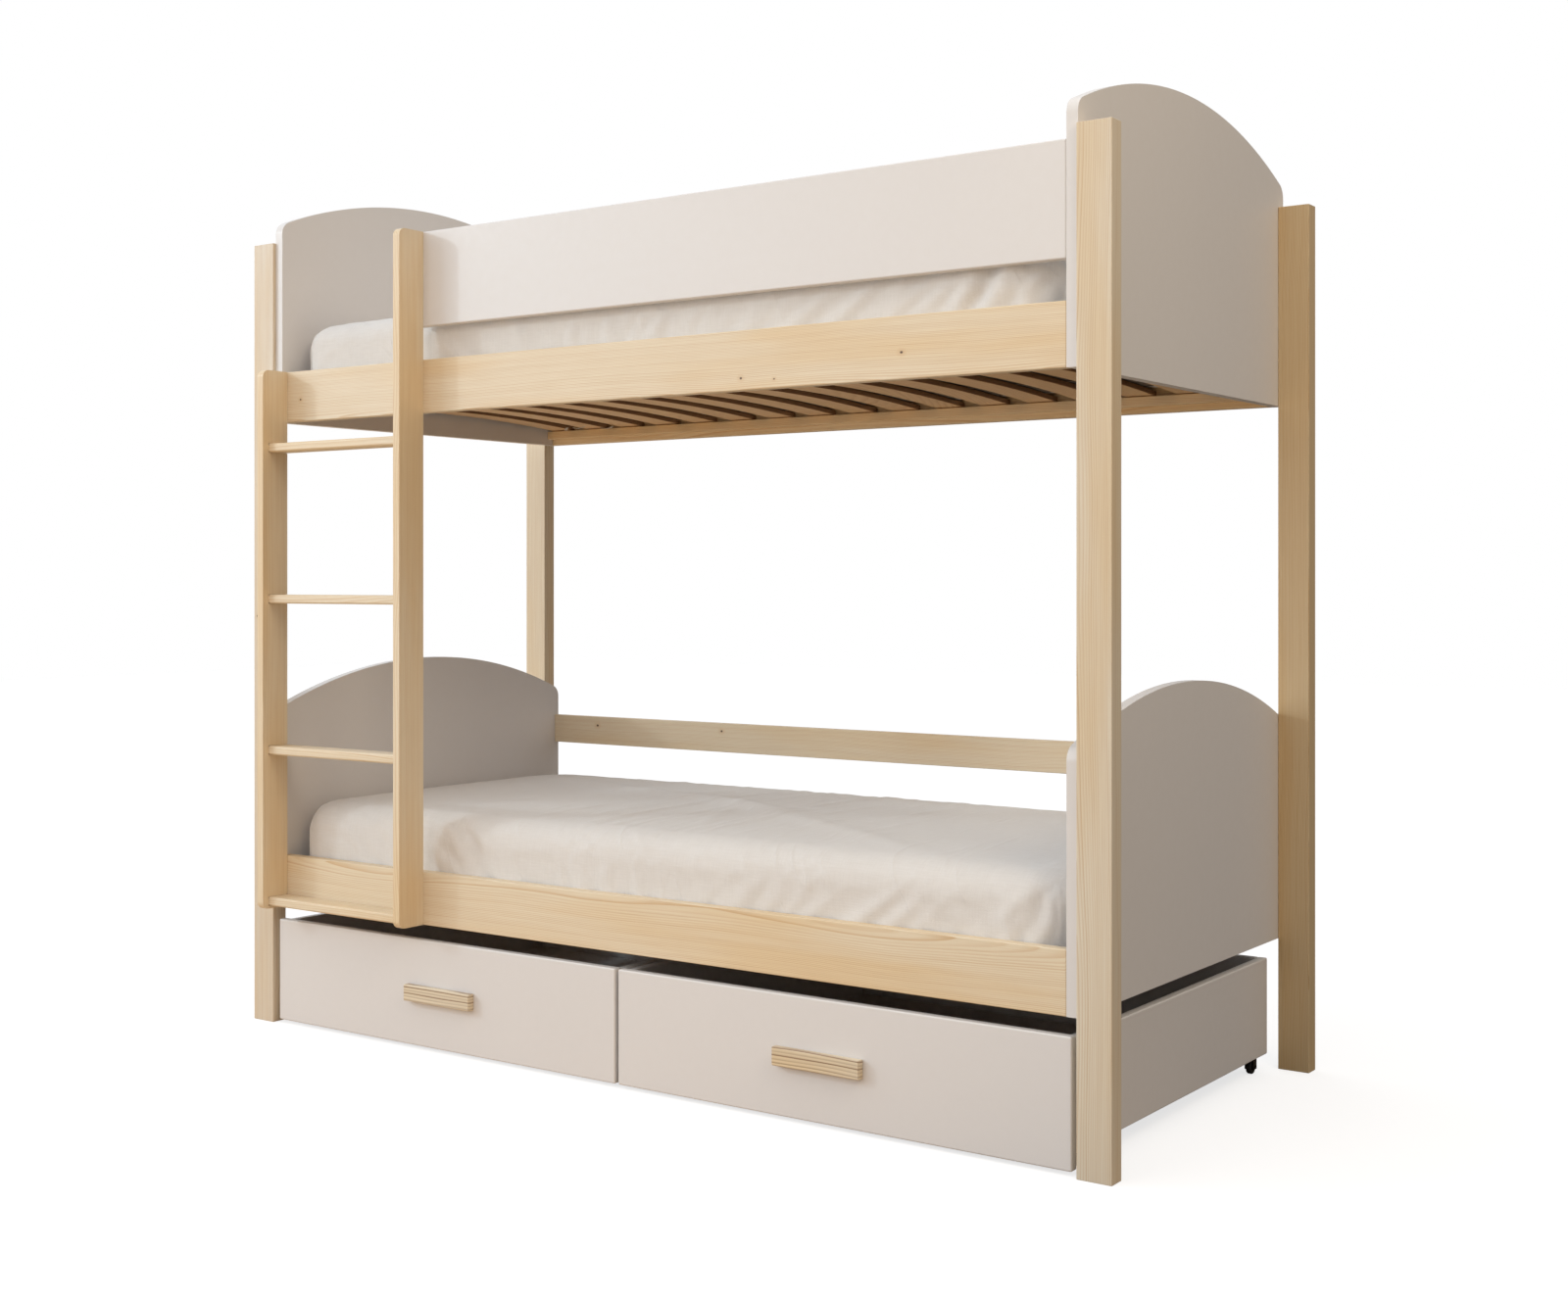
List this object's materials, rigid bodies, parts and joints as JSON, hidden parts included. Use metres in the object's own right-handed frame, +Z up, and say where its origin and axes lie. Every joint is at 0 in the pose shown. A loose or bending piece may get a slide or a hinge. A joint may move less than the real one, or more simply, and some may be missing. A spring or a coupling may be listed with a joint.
{
  "type": "bunk bed",
  "caption": "Two-tier bunk bed in pine and painted board, with a fixed front ladder, guard boards, slatted bases, mattresses and roll-out storage drawers.",
  "frame": {"origin": "on the floor, at the middle of the footprint, ladder included", "axes": "+X along the bed with the ladder at the -X end, +Y from the ladder side to the back, +Z up"},
  "size_m": [1.975, 0.9262, 1.752],
  "materials": {
    "pine": "clear satin varnish on solid pine",
    "painted_board": "smooth satin paint, warm off-white",
    "slat_wood": "plain laminated wood",
    "bedding": "matt washed cotton sheet",
    "caster_wheel": "matt black tread",
    "caster_steel": "black coated steel"
  },
  "bodies": {
    "bed_frame": {"post_front_left": "pine", "post_front_right": "pine", "post_back_left": "pine", "post_back_right": "pine", "end_panel_lower_left": "painted_board", "end_panel_lower_right": "painted_board", "end_panel_upper_left": "painted_board", "end_panel_upper_right": "painted_board", "side_rail_lower_front": "pine", "ledger_lower_front": "pine", "side_rail_lower_back": "pine", "ledger_lower_back": "pine", "side_rail_upper_front": "pine", "ledger_upper_front": "pine", "side_rail_upper_back": "pine", "ledger_upper_back": "pine", "guard_board_upper_front": "painted_board", "guard_board_upper_back": "painted_board", "safety_rail_lower_back": "pine", "slat_base_lower": "slat_wood", "mattress_lower": "bedding", "slat_base_upper": "slat_wood", "mattress_upper": "bedding", "ladder_stile_left": "pine", "ladder_stile_right": "pine", "ladder_rung_1": "pine", "ladder_rung_2": "pine", "ladder_rung_3": "pine", "ladder_rung_4": "pine"},
    "drawer_left": {"drawer_left_front": "painted_board", "drawer_left_side_left": "painted_board", "drawer_left_side_right": "painted_board", "drawer_left_back": "painted_board", "drawer_left_bottom": "painted_board", "drawer_left_handle": "pine", "drawer_left_caster_front_left_bracket": "caster_steel", "drawer_left_caster_front_right_bracket": "caster_steel", "drawer_left_caster_back_left_bracket": "caster_steel", "drawer_left_caster_back_right_bracket": "caster_steel"},
    "drawer_left_wheel_front_left": {"drawer_left_caster_front_left_wheel": "caster_wheel"},
    "drawer_left_wheel_front_right": {"drawer_left_caster_front_right_wheel": "caster_wheel"},
    "drawer_left_wheel_back_left": {"drawer_left_caster_back_left_wheel": "caster_wheel"},
    "drawer_left_wheel_back_right": {"drawer_left_caster_back_right_wheel": "caster_wheel"},
    "drawer_right": {"drawer_right_front": "painted_board", "drawer_right_side_left": "painted_board", "drawer_right_side_right": "painted_board", "drawer_right_back": "painted_board", "drawer_right_bottom": "painted_board", "drawer_right_handle": "pine", "drawer_right_caster_front_left_bracket": "caster_steel", "drawer_right_caster_front_right_bracket": "caster_steel", "drawer_right_caster_back_left_bracket": "caster_steel", "drawer_right_caster_back_right_bracket": "caster_steel"},
    "drawer_right_wheel_front_left": {"drawer_right_caster_front_left_wheel": "caster_wheel"},
    "drawer_right_wheel_front_right": {"drawer_right_caster_front_right_wheel": "caster_wheel"},
    "drawer_right_wheel_back_left": {"drawer_right_caster_back_left_wheel": "caster_wheel"},
    "drawer_right_wheel_back_right": {"drawer_right_caster_back_right_wheel": "caster_wheel"}
  },
  "joints": [
    {"name": "drawer_left_roll_out", "type": "slide", "parent": "bed_frame", "child": "drawer_left", "axis": [0, -1, 0], "range_m": [0, 0.75]},
    {"name": "drawer_left_wheel_front_left_spin", "type": "hinge", "parent": "drawer_left", "child": "drawer_left_wheel_front_left", "pos_m": [-0.899, -0.33885, 0.014], "axis": [1, 0, 0], "continuous": true},
    {"name": "drawer_left_wheel_front_right_spin", "type": "hinge", "parent": "drawer_left", "child": "drawer_left_wheel_front_right", "pos_m": [-0.021, -0.33885, 0.014], "axis": [1, 0, 0], "continuous": true},
    {"name": "drawer_left_wheel_back_left_spin", "type": "hinge", "parent": "drawer_left", "child": "drawer_left_wheel_back_left", "pos_m": [-0.899, 0.36515, 0.014], "axis": [1, 0, 0], "continuous": true},
    {"name": "drawer_left_wheel_back_right_spin", "type": "hinge", "parent": "drawer_left", "child": "drawer_left_wheel_back_right", "pos_m": [-0.021, 0.36515, 0.014], "axis": [1, 0, 0], "continuous": true},
    {"name": "drawer_right_roll_out", "type": "slide", "parent": "bed_frame", "child": "drawer_right", "axis": [0, -1, 0], "range_m": [0, 0.75]},
    {"name": "drawer_right_wheel_front_left_spin", "type": "hinge", "parent": "drawer_right", "child": "drawer_right_wheel_front_left", "pos_m": [0.021, -0.33885, 0.014], "axis": [1, 0, 0], "continuous": true},
    {"name": "drawer_right_wheel_front_right_spin", "type": "hinge", "parent": "drawer_right", "child": "drawer_right_wheel_front_right", "pos_m": [0.899, -0.33885, 0.014], "axis": [1, 0, 0], "continuous": true},
    {"name": "drawer_right_wheel_back_left_spin", "type": "hinge", "parent": "drawer_right", "child": "drawer_right_wheel_back_left", "pos_m": [0.021, 0.36515, 0.014], "axis": [1, 0, 0], "continuous": true},
    {"name": "drawer_right_wheel_back_right_spin", "type": "hinge", "parent": "drawer_right", "child": "drawer_right_wheel_back_right", "pos_m": [0.899, 0.36515, 0.014], "axis": [1, 0, 0], "continuous": true}
  ],
  "couplings": [
    {"joint": "drawer_left_wheel_front_left_spin", "follows": "drawer_left_roll_out", "rad_per_m": 71.429},
    {"joint": "drawer_left_wheel_front_right_spin", "follows": "drawer_left_roll_out", "rad_per_m": 71.429},
    {"joint": "drawer_left_wheel_back_left_spin", "follows": "drawer_left_roll_out", "rad_per_m": 71.429},
    {"joint": "drawer_left_wheel_back_right_spin", "follows": "drawer_left_roll_out", "rad_per_m": 71.429},
    {"joint": "drawer_right_wheel_front_left_spin", "follows": "drawer_right_roll_out", "rad_per_m": 71.429},
    {"joint": "drawer_right_wheel_front_right_spin", "follows": "drawer_right_roll_out", "rad_per_m": 71.429},
    {"joint": "drawer_right_wheel_back_left_spin", "follows": "drawer_right_roll_out", "rad_per_m": 71.429},
    {"joint": "drawer_right_wheel_back_right_spin", "follows": "drawer_right_roll_out", "rad_per_m": 71.429}
  ]
}
